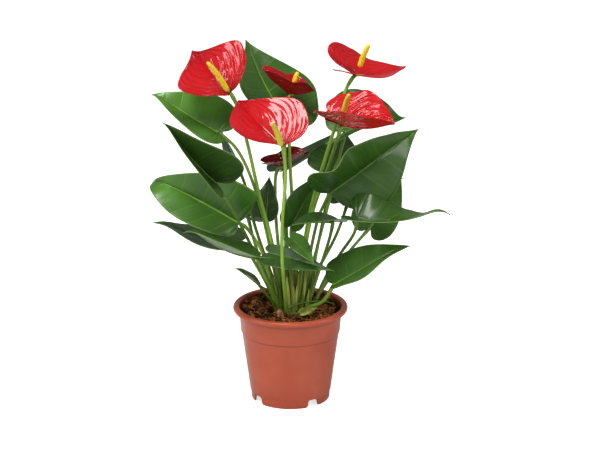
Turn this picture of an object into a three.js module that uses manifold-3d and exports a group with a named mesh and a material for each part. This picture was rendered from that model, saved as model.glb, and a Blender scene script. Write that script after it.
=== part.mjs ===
// A potted anthurium in a 12 cm nursery pot: pot, potting mix, crown, leaves and flowers.
// Millimetres, +Z up. Everything is laid out about the pot's axis, with the pot's foot on z = 0;
// the last step moves the whole plant so that the middle of its footprint is at x = y = 0.
import * as THREE from 'three';
import { mergeVertices } from 'three/addons/utils/BufferGeometryUtils.js';
import Module from 'manifold-3d';

const wasm = await Module();
wasm.setup();

// ---- driving dimensions ----
const POT_HEIGHT = 102;
const LIP_RADIUS = 60;
const LIP_DEPTH = 5.5;
const LIP_INNER_RADIUS = 53;
const BAND_TOP_RADIUS = 53.6;
const BAND_BOTTOM_RADIUS = 51.9;
const BAND_BOTTOM_Z = 74;
const BODY_TOP_RADIUS = 51.1;
const BODY_BOTTOM_RADIUS = 42.2;
const FOOT_TOP_Z = 9;
const FOOT_TOP_RADIUS = 41.6;
const FOOT_RADIUS = 41;
const POT_WALL = 1.4;
const FLOOR_Z = 6;
const STEP_HEIGHT = 0.8;
const LIP_ROUNDING = 1.6;
const NOTCH_HEIGHT = 8;
const NOTCH_WIDTH = 13;
const NOTCH_DEPTH = 12;
const NOTCH_AZIMUTHS = [35, 125, 215, 305];
const POT_SEGMENTS = 40;

const MIX_TOP_Z = 91;
const MIX_MOUND = 1.5;
const GAP = 0.4;

const CROWN_TOP_Z = 96;
const CROWN_RADII = [29, 21];

const LEAF_THICKNESS = 1;
const SPATHE_THICKNESS = 1.2;
const LEAF_STALK_RADIUS = 2;
const FLOWER_STALK_RADIUS = 2.2;
const SPADIX_RADIUS = 3;
const STALK_SIDES = 6;
const STALK_STEPS = 8;
const MARGIN_STATIONS = 11;
const ROWS_ACROSS = 2;

// ---- outlines ----
// One half of a blade from the lobe behind the stalk round to the tip. The first number runs along
// the midrib: 0 at the stalk, 1 at the tip, and below 0 in shares of the lobe's own length. The
// second is a share of the half-width.
const LEAF_OUTLINE = [
  [-0.5, 0.12], [-0.88, 0.24], [-1, 0.44], [-0.7, 0.72], [0, 0.93], [0.15, 1], [0.32, 0.94],
  [0.5, 0.75], [0.67, 0.5], [0.8, 0.28], [0.9, 0.115], [0.96, 0.04], [1, 0],
];
const SPATHE_OUTLINE = [
  [-0.3, 0.1], [-0.8, 0.22], [-1, 0.44], [-0.62, 0.74], [0.08, 0.94], [0.28, 1], [0.48, 0.95],
  [0.66, 0.8], [0.81, 0.55], [0.92, 0.27], [0.98, 0.07], [1, 0],
];

// ---- the leaves and flowers ----
// joint: where the stalk meets the blade. tip: the blade's tip. face: the way its upper side looks.
// width, fold and curl: half-width, rise of each half at the midrib and further rise at its margin,
// for the left and the right half. bend and hook: droop of the midrib, whole and near the tip.
// lobe: how far the lobes reach behind the joint, as a share of the length from joint to tip.
// foot: where the stalk leaves the crown. via: points the stalk passes, from the joint down.
const LEAVES = [
  { name: 'leaf_01', joint: [-74, 5, 287], tip: [-143, 25, 321], face: [0.2, -0.4, 0.9], width: [36, 35], fold: [18, 35], curl: [0, -10], bend: -10, hook: 45, lobe: 0.15, foot: [-16, 3], via: [[-55, 8, 268], [-34, 9, 217]] },
  { name: 'leaf_02', joint: [-77, -40, 248], tip: [-125, -90, 323], face: [0.8, -0.55, 0.1], width: [32, 42], fold: [46, 70], curl: [0, 0], bend: -30, hook: 40, lobe: 0.1, foot: [-17, -9], via: [[-64, -38, 227], [-40, -20, 172]] },
  { name: 'leaf_03', joint: [-54, -6, 193], tip: [-141, 18, 231], face: [-0.1, -0.8, 0.6], width: [34, 44], fold: [20, 46], curl: [0, 0], bend: 25, hook: 60, lobe: 0.03, foot: [-23, -3], via: [[-47, -2, 188], [-36, 0, 172], [-28, -1, 156]] },
  { name: 'leaf_04', joint: [-52, 8, 168], tip: [-143, 0, 191], face: [0.25, 0, 0.95], width: [33, 33], fold: [0, 10], curl: [0, 0], bend: -30, hook: 35, lobe: 0.08, foot: [-23, 4], via: [[-40, 8, 150]] },
  { name: 'leaf_05', joint: [-34, -45, 168], tip: [-107, -95, 210], face: [0.3, 0.25, 0.9], width: [27, 27], fold: [12, 25], curl: [0, 0], bend: -35, hook: 70, lobe: 0.1, foot: [-17, -16], via: [[-28, -40, 150]] },
  { name: 'leaf_06', small: true, joint: [-33, -26, 133], tip: [-57, -50, 159], face: [0.1, -0.3, 0.95], width: [12, 12], fold: [15, 15], curl: [0, 0], bend: 0, hook: 10, lobe: 0.15, foot: [-23, -9], via: [] },
  { name: 'leaf_07', small: true, joint: [-22, -13, 163], tip: [45, -55, 157], face: [0.35, -0.85, 0.4], width: [10, 15], fold: [10, 10], curl: [0, 0], bend: 10, hook: 0, lobe: 0.08, foot: [-10, -11], via: [] },
  { name: 'leaf_08', small: true, joint: [3, -27, 181], tip: [25, -60, 166], face: [0.2, -0.7, 0.7], width: [11, 11], fold: [15, 15], curl: [0, 0], bend: 10, hook: 0, lobe: 0.2, foot: [1, -6], via: [[3, -12, 164]] },
  { name: 'leaf_09', joint: [-55, 25, 246], tip: [-72, 32, 284], face: [-0.9, -0.35, 0.2], width: [14, 14], fold: [15, 15], curl: [0, 0], bend: 0, hook: 10, lobe: 0.15, foot: [-17, 9], via: [[-47, 30, 222], [-38, 32, 180]] },
  { name: 'leaf_10', small: true, joint: [-25, 18, 191], tip: [-22, 42, 229], face: [-0.3, -0.6, 0.7], width: [16, 17], fold: [20, 25], curl: [0, 0], bend: 0, hook: 0, lobe: 0.12, foot: [-10, 9], via: [] },
  { name: 'leaf_11', joint: [1, 19, 182], tip: [31, 62, 226], face: [0.15, -0.75, 0.65], width: [25, 20], fold: [50, 50], curl: [0, 0], bend: 15, hook: 0, lobe: 0.1, foot: [0, 3], via: [] },
  { name: 'leaf_12', joint: [44, 45, 232], tip: [58, 85, 267], face: [-0.3, -0.45, 0.8], width: [30, 30], fold: [30, 10], curl: [0, 0], bend: -20, hook: 0, lobe: 0.1, foot: [18, 11], via: [] },
  { name: 'leaf_13', joint: [41, -15, 228], tip: [129, -35, 301], face: [-0.1, -0.85, 0.5], width: [44, 38], fold: [68, -24], curl: [0, 0], bend: -12, hook: 30, lobe: 0.05, foot: [12, -3], via: [[29, -10, 200]] },
  { name: 'leaf_14', joint: [-7, 70, 228], tip: [48, 112, 258], face: [-0.4, -0.2, 0.9], width: [29, 28], fold: [5, 20], curl: [0, 0], bend: -20, hook: -10, lobe: 0.15, foot: [-1, 15], via: [] },
  { name: 'leaf_15', joint: [68, -40, 209], tip: [160, -85, 226], face: [-0.2, 0, 1], width: [26, 27], fold: [32, 17], curl: [0, 0], bend: -45, hook: 75, lobe: 0.1, foot: [24, -6], via: [[66, -32, 192], [52, -7, 160], [38, 0, 134]] },
  { name: 'leaf_16', joint: [84, 30, 177], tip: [118, 70, 227], face: [0.1, -0.85, 0.5], width: [26, 24], fold: [10, 5], curl: [0, 0], bend: 10, hook: 0, lobe: 0.2, foot: [24, 4], via: [[60, 22, 150]] },
  { name: 'leaf_17', joint: [45, -35, 136], tip: [122, -53, 183], face: [-0.5, -0.4, 0.75], width: [31, 33], fold: [10, 26], curl: [0, 0], bend: 0, hook: 40, lobe: 0.06, foot: [15, -15], via: [[36, -30, 122]] },
  { name: 'leaf_18', joint: [44, -25, 200], tip: [0, -62, 207], face: [0.1, 0.1, 0.99], width: [18, 18], fold: [20, 20], curl: [0, 0], bend: 10, hook: 10, lobe: 0.2, foot: [18, -9], via: [[40, -16, 178]] },
  { name: 'leaf_19', joint: [-9, 50, 296], tip: [-47, 85, 365], face: [0.35, -0.7, 0.6], width: [50, 48], fold: [8, 5], curl: [45, 0], bend: -30, hook: 5, lobe: 0.3, foot: [-3, 9], via: [[-5.5, 30, 262], [-6, 26, 225], [-5, 20, 160]] },
  { name: 'leaf_20', joint: [57, 33, 279], tip: [118, 10, 301], face: [-0.3, 0, 0.95], width: [41, 38], fold: [65, 5], curl: [0, 0], bend: 35, hook: -35, lobe: 0.25, foot: [14, 5], via: [[50, 28, 250], [46, 22, 232]] },
  { name: 'leaf_21', joint: [-46, 72, 176], tip: [-112, 105, 186], face: [-0.1, 0.2, 0.95], width: [30, 30], fold: [15, 15], curl: [0, 0], bend: 25, hook: 20, lobe: 0.2, foot: [-13, 14], via: [[-34, 50, 140]] },
  { name: 'leaf_22', joint: [62, 72, 194], tip: [122, 112, 205], face: [0.1, 0.2, 0.95], width: [30, 30], fold: [15, 15], curl: [0, 0], bend: 25, hook: 20, lobe: 0.2, foot: [12, 15], via: [[48, 52, 160]] },
];
const FLOWERS = [
  { name: 'flower_1', joint: [-61, -5, 332], tip: [-100, 20, 369], face: [-0.1, -0.8, 0.6], width: [44, 45], fold: [25, 25], curl: [0, 0], bend: -35, hook: -25, lobe: 0.06, foot: [-12, -4], via: [[-54, 0, 316], [-43, 2, 272], [-33, 0, 226], [-19, -3, 170]], spadix: [[-63.6, -9, 335], [-83, -25, 368]] },
  { name: 'flower_2', joint: [-7, -58, 291], tip: [-52, -24, 328], face: [0, -0.7, 0.7], width: [43, 45], fold: [35, 15], curl: [0, 0], bend: -35, hook: 0, lobe: 0.14, foot: [-4, -18], via: [[-4.5, -52, 260], [-8, -48, 205], [-8, -46, 164]], spadix: [[-9, -63, 293], [-17, -88, 322]] },
  { name: 'flower_3', joint: [-2, 40, 318], tip: [25, 47, 320], face: [-0.1, 0.15, 0.97], width: [27, 21], fold: [50, 38], curl: [0, 10], bend: -25, hook: 0, lobe: 1.0, foot: [5, 12], via: [[-1, 34, 262], [1, 32, 220], [4, 29, 175]], spadix: [[4, 35, 330], [8, 35, 343]] },
  { name: 'flower_4', joint: [66, 20, 344], tip: [119, 35, 349], face: [-0.05, -0.1, 1], width: [33, 32], fold: [30, 12], curl: [0, 0], bend: -35, hook: -20, lobe: 0.5, foot: [7, 3], via: [[57, 10, 331], [45, -2, 292], [28, 1, 233], [18, 1, 191]], spadix: [[71, 15, 354], [80, 5, 379]] },
  { name: 'flower_5', joint: [52, -30, 304], tip: [104, -60, 313], face: [0, 0.2, 0.97], width: [41, 42], fold: [65, 25], curl: [0, 0], bend: -35, hook: 20, lobe: 0.42, foot: [8, -8], via: [[40, -15, 259], [21, -10, 198]], spadix: [[54, -32, 318], [59, -45, 340]] },
  { name: 'flower_6', joint: [-6, 50, 243], tip: [17, 50, 250], face: [0, -0.4, 0.9], width: [14, 14], fold: [30, 30], curl: [0, 0], bend: 0, hook: 0, lobe: 0.5, foot: [-7, 15], via: [[-14, 48, 233], [-16, 38, 205], [-13, 27, 160]] },
];

// ---- materials ----
function material(color, roughness) {
  return new THREE.MeshStandardMaterial({ color, roughness, metalness: 0 });
}
const POT_PLASTIC = material(0xb05a3e, 0.45);
const POTTING_MIX = material(0x3a2618, 0.95);
const CROWN_SKIN = material(0x7c9440, 0.7);
const LEAF_GREEN = material(0x35692c, 0.3);
const STALK_GREEN = material(0x86b340, 0.45);
const SPATHE_RED = material(0xd2202c, 0.2);
const SPADIX_YELLOW = material(0xf0cf2c, 0.6);

// ---- helpers ----
const RAD = Math.PI / 180;
const vec = (p) => new THREE.Vector3(...p);

// The same geometry with only positions, and one vertex at each place.
function welded(geometry) {
  const bare = geometry.clone();
  bare.deleteAttribute('normal');
  bare.deleteAttribute('uv');
  return mergeVertices(bare, 1e-4);
}

function toSolid(geometry) {
  const bare = welded(geometry);
  return new wasm.Manifold(new wasm.Mesh({
    numProp: 3,
    vertProperties: Float32Array.from(bare.attributes.position.array),
    triVerts: Uint32Array.from(bare.index.array),
  }));
}

function toGeometry(solid) {
  const mesh = solid.getMesh();
  const geometry = new THREE.BufferGeometry();
  geometry.setAttribute('position', new THREE.BufferAttribute(new Float32Array(mesh.vertProperties), 3));
  geometry.setIndex(new THREE.BufferAttribute(new Uint32Array(mesh.triVerts), 1));
  geometry.computeVertexNormals();
  return geometry;
}

// Samples of a smooth curve through the outline's points, with the lobe's share put in.
function sampleOutline(outline, lobe, count) {
  const points = outline.map(([along, across]) => new THREE.Vector3(along < 0 ? along * lobe : along, across, 0));
  return new THREE.CatmullRomCurve3(points, false, 'catmullrom', 0.5).getPoints(count - 1);
}

// The blade's own axes: length, sideways (to the left of the midrib, seen from above) and upward.
function bladeAxes(spec) {
  const origin = vec(spec.joint);
  const along = vec(spec.tip).sub(origin);
  const length = along.length();
  along.normalize();
  const up = vec(spec.face);
  up.addScaledVector(along, -up.dot(along)).normalize();
  const side = new THREE.Vector3().crossVectors(up, along);
  return { origin, along, up, side, length };
}

// The midrib droops as one arc and hooks near its tip. Returns where it is, as shares of the
// straight length from stalk to tip, and how steeply it runs there.
const HOOK_START = 0.7;
const MIDRIB_STEPS = 40;
function midribCurve(spec) {
  const slope = (u) => {
    const late = THREE.MathUtils.clamp((u - HOOK_START) / (1 - HOOK_START), 0, 1);
    return -spec.bend * RAD * u - spec.hook * RAD * late * late;
  };
  const xs = [0];
  const zs = [0];
  for (let i = 0; i < MIDRIB_STEPS; i += 1) {
    const middle = (i + 0.5) / MIDRIB_STEPS;
    xs.push(xs[i] + Math.cos(slope(middle)) / MIDRIB_STEPS);
    zs.push(zs[i] + Math.sin(slope(middle)) / MIDRIB_STEPS);
  }
  const scale = 1 / Math.hypot(xs[MIDRIB_STEPS], zs[MIDRIB_STEPS]);
  const chord = Math.atan2(zs[MIDRIB_STEPS], xs[MIDRIB_STEPS]);
  return (u) => {
    let x = u;
    let z = 0;
    if (u > 0) {
      const step = Math.min(u, 1) * MIDRIB_STEPS;
      const low = Math.min(Math.floor(step), MIDRIB_STEPS - 1);
      x = THREE.MathUtils.lerp(xs[low], xs[low + 1], step - low);
      z = THREE.MathUtils.lerp(zs[low], zs[low + 1], step - low);
    }
    return {
      x: scale * (x * Math.cos(chord) + z * Math.sin(chord)),
      z: scale * (z * Math.cos(chord) - x * Math.sin(chord)),
      slope: slope(THREE.MathUtils.clamp(u, 0, 1)) - chord,
    };
  };
}

// A point of the blade's middle surface: side 0 is the left half and 1 the right half.
function bladePoint(spec, axes, midrib, side, along, across) {
  const width = spec.width[side];
  const fold = spec.fold[side] * RAD;
  const curl = spec.curl[side] * RAD;
  let out = across * width * Math.cos(fold);
  let lift = across * width * Math.sin(fold);
  if (curl !== 0) {
    out = (width / curl) * (Math.sin(fold + curl * across) - Math.sin(fold));
    lift = (width / curl) * (Math.cos(fold) - Math.cos(fold + curl * across));
  }
  const sign = side === 0 ? 1 : -1;
  const rib = midrib(along);
  return axes.origin.clone()
    .addScaledVector(axes.along, rib.x * axes.length - lift * Math.sin(rib.slope))
    .addScaledVector(axes.side, sign * out)
    .addScaledVector(axes.up, rib.z * axes.length + lift * Math.cos(rib.slope));
}

// Where the vein that meets the margin at this station leaves the midrib: veins sweep forward.
const VEIN_SWEEP = 0.12;
const FIRST_VEIN = 0.02;
function veinStart(along) {
  const u = THREE.MathUtils.clamp((along - FIRST_VEIN) / (1 - FIRST_VEIN), 0, 1);
  const start = THREE.MathUtils.clamp((1 + FIRST_VEIN) * u - VEIN_SWEEP * Math.sin(Math.PI * u), 0, 1);
  return start < FIRST_VEIN ? 0 : start;
}

// A blade as one closed sheet of even thickness. Each half is a fan of veins: from the stalk in
// the lobes, and from the midrib beyond it.
function bladeGeometry(spec, outline, thickness) {
  const axes = bladeAxes(spec);
  const midrib = midribCurve(spec);
  const margin = sampleOutline(outline, spec.lobe, MARGIN_STATIONS);
  const vertices = [];
  const places = new Map();
  const vertexAt = (point) => {
    const key = point.toArray().map((n) => Math.round(n * 1000)).join();
    if (!places.has(key)) {
      places.set(key, vertices.length);
      vertices.push(point);
    }
    return places.get(key);
  };
  const triangles = [];
  const loops = [];
  for (const side of [0, 1]) {
    const rows = margin.map((edge, station) => {
      const start = station === margin.length - 1 ? 1 : veinStart(edge.x);
      const row = [];
      for (let j = 0; j <= ROWS_ACROSS; j += 1) {
        const share = j / ROWS_ACROSS;
        const along = THREE.MathUtils.lerp(start, edge.x, share);
        row.push(vertexAt(bladePoint(spec, axes, midrib, side, along, edge.y * share)));
      }
      return row;
    });
    for (let i = 0; i + 1 < rows.length; i += 1) {
      for (let j = 0; j < ROWS_ACROSS; j += 1) {
        const [a, b, c, d] = [rows[i][j], rows[i + 1][j], rows[i + 1][j + 1], rows[i][j + 1]];
        const quad = side === 0 ? [[a, b, c], [a, c, d]] : [[a, c, b], [a, d, c]];
        triangles.push(...quad.filter(([p, q, r]) => p !== q && q !== r && r !== p));
      }
    }
    loops.push([...rows[0], ...rows.slice(1).map((row) => row[ROWS_ACROSS])]);
  }
  // the sheet's edge runs out round the left half to the tip and back round the right half
  const edge = [...loops[0], ...loops[1].slice(1, -1).reverse()];

  const normals = vertices.map(() => new THREE.Vector3());
  for (const [a, b, c] of triangles) {
    const normal = new THREE.Vector3().crossVectors(
      vertices[b].clone().sub(vertices[a]),
      vertices[c].clone().sub(vertices[a]),
    );
    [a, b, c].forEach((index) => normals[index].add(normal));
  }
  const count = vertices.length;
  const positions = [];
  // the triangles face upward, so the first layer is the blade's upper side
  [1, -1].forEach((layer) => {
    vertices.forEach((vertex, index) => {
      const shifted = vertex.clone().addScaledVector(normals[index].clone().normalize(), layer * thickness / 2);
      positions.push(...shifted.toArray());
    });
  });
  const faces = [];
  triangles.forEach(([a, b, c]) => {
    faces.push(a, b, c, a + count, c + count, b + count);
  });
  // the rim joins the two layers, turning the way the first layer's triangles leave open
  const open = new Set(triangles.flatMap(([a, b, c]) => [`${a},${b}`, `${b},${c}`, `${c},${a}`]));
  edge.forEach((from, index) => {
    const to = edge[(index + 1) % edge.length];
    const [p, q] = open.has(`${from},${to}`) ? [from, to] : [to, from];
    faces.push(q, p, p + count, q, p + count, q + count);
  });
  const geometry = new THREE.BufferGeometry();
  geometry.setAttribute('position', new THREE.Float32BufferAttribute(positions, 3));
  geometry.setIndex(faces);
  geometry.computeVertexNormals();
  return geometry;
}

// A stalk as a round rod along a smooth curve through its points.
function stalkGeometry(points, radius) {
  const corners = Array.from({ length: STALK_SIDES }, (_, i) => {
    const angle = (2 * Math.PI * i) / STALK_SIDES;
    return new THREE.Vector2(radius * Math.cos(angle), radius * Math.sin(angle));
  });
  return new THREE.ExtrudeGeometry(new THREE.Shape(corners), {
    steps: STALK_STEPS,
    bevelEnabled: false,
    extrudePath: new THREE.CatmullRomCurve3(points),
  });
}

// The stalk's points: straight up from the crown, through the via points, to a gap under the blade.
const STALK_RISE = 4;
function stalkPoints(spec, radius, thickness) {
  const { origin, up } = bladeAxes(spec);
  const foot = new THREE.Vector3(spec.foot[0], spec.foot[1], CROWN_TOP_Z + GAP);
  return [
    foot,
    foot.clone().add(new THREE.Vector3(0, 0, STALK_RISE)),
    ...[...spec.via].reverse().map(vec),
    origin.clone().addScaledVector(up, -(radius + thickness / 2 + GAP)),
  ];
}

const group = new THREE.Group();
function addPart(name, geometry, look) {
  const mesh = new THREE.Mesh(geometry, look);
  mesh.name = name;
  group.add(mesh);
  return mesh;
}

// ---- pot ----
function lathe(profile, segments) {
  const turned = new THREE.LatheGeometry(profile.map(([r, z]) => new THREE.Vector2(r, z)), segments);
  turned.rotateX(Math.PI / 2);
  return turned;
}
function slopedRadius(z) {
  const share = (z - FOOT_TOP_Z) / (BAND_BOTTOM_Z - FOOT_TOP_Z);
  return THREE.MathUtils.lerp(BODY_BOTTOM_RADIUS, BODY_TOP_RADIUS, share);
}
const potProfile = [
  [0, FLOOR_Z],
  [FOOT_RADIUS - POT_WALL, FLOOR_Z],
  [FOOT_RADIUS - POT_WALL, 0],
  [FOOT_RADIUS, 0],
  [FOOT_TOP_RADIUS, FOOT_TOP_Z - STEP_HEIGHT / 2],
  [slopedRadius(FOOT_TOP_Z), FOOT_TOP_Z],
  [BODY_TOP_RADIUS, BAND_BOTTOM_Z],
  [BAND_BOTTOM_RADIUS, BAND_BOTTOM_Z + STEP_HEIGHT],
  [BAND_TOP_RADIUS, POT_HEIGHT - LIP_DEPTH],
  [LIP_RADIUS - LIP_ROUNDING / 2, POT_HEIGHT - LIP_DEPTH],
  [LIP_RADIUS, POT_HEIGHT - LIP_DEPTH + LIP_ROUNDING * 0.75],
  [LIP_RADIUS, POT_HEIGHT - LIP_ROUNDING],
  [LIP_RADIUS - LIP_ROUNDING, POT_HEIGHT],
  [LIP_INNER_RADIUS + LIP_ROUNDING, POT_HEIGHT],
  [LIP_INNER_RADIUS, POT_HEIGHT - LIP_ROUNDING],
  [BAND_TOP_RADIUS - POT_WALL, POT_HEIGHT - LIP_DEPTH],
  [BODY_TOP_RADIUS - POT_WALL, BAND_BOTTOM_Z],
  [BODY_BOTTOM_RADIUS - POT_WALL, FLOOR_Z + POT_WALL],
  [0, FLOOR_Z + POT_WALL],
];
let potSolid = toSolid(lathe(potProfile, POT_SEGMENTS));
for (const azimuth of NOTCH_AZIMUTHS) {
  // a notch is taller than the skirt below the floor, so it also opens a drain slot at the floor's edge
  const notch = new THREE.BoxGeometry(NOTCH_WIDTH, NOTCH_DEPTH, 2 * NOTCH_HEIGHT);
  notch.translate(0, -FOOT_RADIUS, 0);
  notch.rotateZ(azimuth * RAD);
  potSolid = potSolid.subtract(toSolid(notch));
}
addPart('pot', toGeometry(potSolid), POT_PLASTIC);

// ---- potting mix and crown ----
const MIX_SEGMENTS = 28;
const MIX_SHOULDER = 6;
const mixProfile = [
  [0, FLOOR_Z + POT_WALL + GAP],
  [BODY_BOTTOM_RADIUS - POT_WALL - 2 * GAP, FLOOR_Z + POT_WALL + GAP],
  [BODY_TOP_RADIUS - POT_WALL - 2 * GAP, BAND_BOTTOM_Z],
  [BODY_TOP_RADIUS, MIX_TOP_Z - MIX_MOUND],
  [CROWN_RADII[0] + MIX_SHOULDER, MIX_TOP_Z],
  [0, MIX_TOP_Z],
];
addPart('potting_mix', lathe(mixProfile, MIX_SEGMENTS), POTTING_MIX);

const CROWN_SEGMENTS = 18;
const CROWN_FLARE = 1.04;
const crown = new THREE.CylinderGeometry(1, CROWN_FLARE, CROWN_TOP_Z - MIX_TOP_Z - GAP, CROWN_SEGMENTS);
crown.rotateX(Math.PI / 2);
crown.scale(CROWN_RADII[0], CROWN_RADII[1], 1);
addPart('crown', crown, CROWN_SKIN).position.z = (CROWN_TOP_Z + MIX_TOP_Z + GAP) / 2;

// ---- leaves ----
// A small low leaf is one piece: its stalk runs on into the blade.
for (const leaf of LEAVES) {
  const blade = bladeGeometry(leaf, LEAF_OUTLINE, LEAF_THICKNESS);
  const points = stalkPoints(leaf, LEAF_STALK_RADIUS, LEAF_THICKNESS);
  if (leaf.small) {
    points[points.length - 1] = vec(leaf.joint);
    const whole = toSolid(blade).add(toSolid(stalkGeometry(points, LEAF_STALK_RADIUS)));
    addPart(leaf.name, toGeometry(whole), LEAF_GREEN);
  } else {
    addPart(`${leaf.name}_blade`, blade, LEAF_GREEN);
    addPart(`${leaf.name}_stalk`, stalkGeometry(points, LEAF_STALK_RADIUS), STALK_GREEN);
  }
}

// ---- flowers ----
const SPADIX_SIDES = 8;
function spadixMesh(name, [base, end]) {
  const axis = vec(end).sub(vec(base));
  const length = axis.length();
  const profile = [
    [0, 0], [0.75, 0], [0.95, 0.12], [1, 0.35], [0.85, 0.75], [0.6, 0.93], [0.25, 1], [0, 1],
  ].map(([r, z]) => [r * SPADIX_RADIUS, z * length]);
  const mesh = addPart(name, lathe(profile, SPADIX_SIDES), SPADIX_YELLOW);
  mesh.quaternion.setFromUnitVectors(new THREE.Vector3(0, 0, 1), axis.normalize());
  mesh.position.copy(vec(base));
}
for (const flower of FLOWERS) {
  addPart(`${flower.name}_spathe`, bladeGeometry(flower, SPATHE_OUTLINE, SPATHE_THICKNESS), SPATHE_RED);
  const points = stalkPoints(flower, FLOWER_STALK_RADIUS, SPATHE_THICKNESS);
  addPart(`${flower.name}_stalk`, stalkGeometry(points, FLOWER_STALK_RADIUS), STALK_GREEN);
  if (flower.spadix) {
    spadixMesh(`${flower.name}_spadix`, flower.spadix);
  }
}

// ---- frame: the middle of the footprint at x = y = 0 ----
const footprint = new THREE.Box3().setFromObject(group, true);
group.position.set(
  -(footprint.min.x + footprint.max.x) / 2,
  -(footprint.min.y + footprint.max.y) / 2,
  0,
);
group.updateMatrixWorld(true);

export default group;
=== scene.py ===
"""A potted anthurium in a nursery pot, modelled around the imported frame. Lengths are in metres."""

import math

import bpy
import numpy as np
from mathutils import Matrix, Vector, noise


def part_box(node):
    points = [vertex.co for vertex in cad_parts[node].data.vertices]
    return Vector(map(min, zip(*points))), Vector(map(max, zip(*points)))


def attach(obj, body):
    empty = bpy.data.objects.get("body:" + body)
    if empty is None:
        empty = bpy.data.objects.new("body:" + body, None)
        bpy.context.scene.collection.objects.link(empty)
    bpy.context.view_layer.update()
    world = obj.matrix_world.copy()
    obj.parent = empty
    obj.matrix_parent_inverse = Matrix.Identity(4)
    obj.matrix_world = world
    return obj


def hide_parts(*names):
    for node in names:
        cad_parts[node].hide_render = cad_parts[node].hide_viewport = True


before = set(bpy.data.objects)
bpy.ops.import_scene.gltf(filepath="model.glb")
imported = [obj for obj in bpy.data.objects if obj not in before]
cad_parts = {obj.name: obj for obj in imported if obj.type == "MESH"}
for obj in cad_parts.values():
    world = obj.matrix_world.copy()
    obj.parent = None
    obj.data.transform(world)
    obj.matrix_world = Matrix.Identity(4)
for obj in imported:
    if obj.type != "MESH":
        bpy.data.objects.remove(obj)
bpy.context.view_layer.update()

MM = 0.001
pot_low, pot_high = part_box("pot")
AXIS = (pot_low + pot_high) / 2
AXIS.z = 0
POT_HEIGHT = pot_high.z

def shape(name, joint, tip, curl=(0, 0), bend=0, hook=0, lift=0, via=(), spadix=None, green=0.0, **rest):
    """The numbers of one leaf or flower, with those that it doesn't give at rest."""
    return dict(name=name, joint=joint, tip=tip, curl=curl, bend=bend, hook=hook, lift=lift, via=via,
                spadix=spadix, green=green, **rest)


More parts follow.
